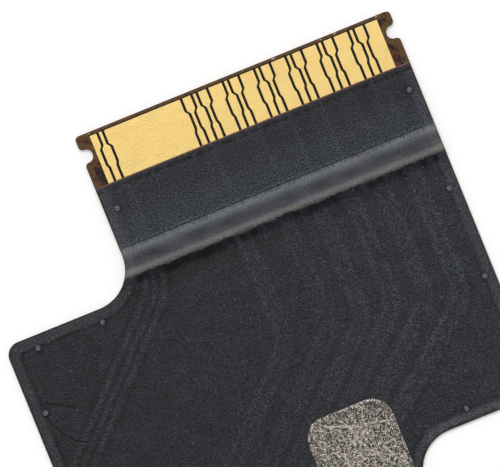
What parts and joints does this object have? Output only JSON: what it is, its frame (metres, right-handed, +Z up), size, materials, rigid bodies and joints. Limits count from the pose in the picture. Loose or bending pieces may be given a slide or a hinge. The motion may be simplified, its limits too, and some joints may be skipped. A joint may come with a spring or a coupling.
{
  "type": "flexible printed circuit jumper",
  "caption": "Black shielded flexible circuit jumper with a stepped outline, gold staggered contacts on both stiffened tips and a conductive fibre ground pad.",
  "frame": {"origin": "centre of the bounding box, on the surface that the cable lies on", "axes": "+Y along the cable towards the upper contact end, +X across the contacts, +Z up from the contact side"},
  "size_m": [0.0172, 0.022, 0.0003],
  "materials": {
    "polyimide_base": "satin amber-brown polyimide",
    "copper": "bare copper",
    "gold_plated_copper": "satin gold plating over copper",
    "coverlay": "matte dark coverlay",
    "shield_film": "matte black shielding film",
    "stiffener": "satin amber polyimide",
    "conductive_fibre": "matted metal-coated fibre"
  },
  "bodies": {
    "root": {"base_film": "polyimide_base", "ground_pour": "copper", "ground_vias": "copper", "rear_ground_plane": "copper", "front_coverlay": "coverlay", "front_shield_film": "shield_film", "rear_coverlay": "coverlay", "rear_shield_film": "shield_film", "upper_stiffener": "stiffener", "lower_stiffener": "stiffener", "ground_pad": "conductive_fibre", "conductor_01": "gold_plated_copper", "conductor_02": "gold_plated_copper", "conductor_03": "gold_plated_copper", "conductor_04": "gold_plated_copper", "conductor_05": "gold_plated_copper", "conductor_06": "gold_plated_copper", "conductor_07": "gold_plated_copper", "conductor_08": "gold_plated_copper", "conductor_09": "gold_plated_copper", "conductor_10": "gold_plated_copper", "conductor_11": "gold_plated_copper", "conductor_12": "gold_plated_copper", "conductor_13": "gold_plated_copper", "conductor_14": "gold_plated_copper", "conductor_15": "gold_plated_copper", "conductor_16": "gold_plated_copper", "conductor_17": "gold_plated_copper", "conductor_18": "gold_plated_copper", "conductor_19": "gold_plated_copper", "conductor_20": "gold_plated_copper", "conductor_21": "gold_plated_copper"}
  },
  "joints": []
}
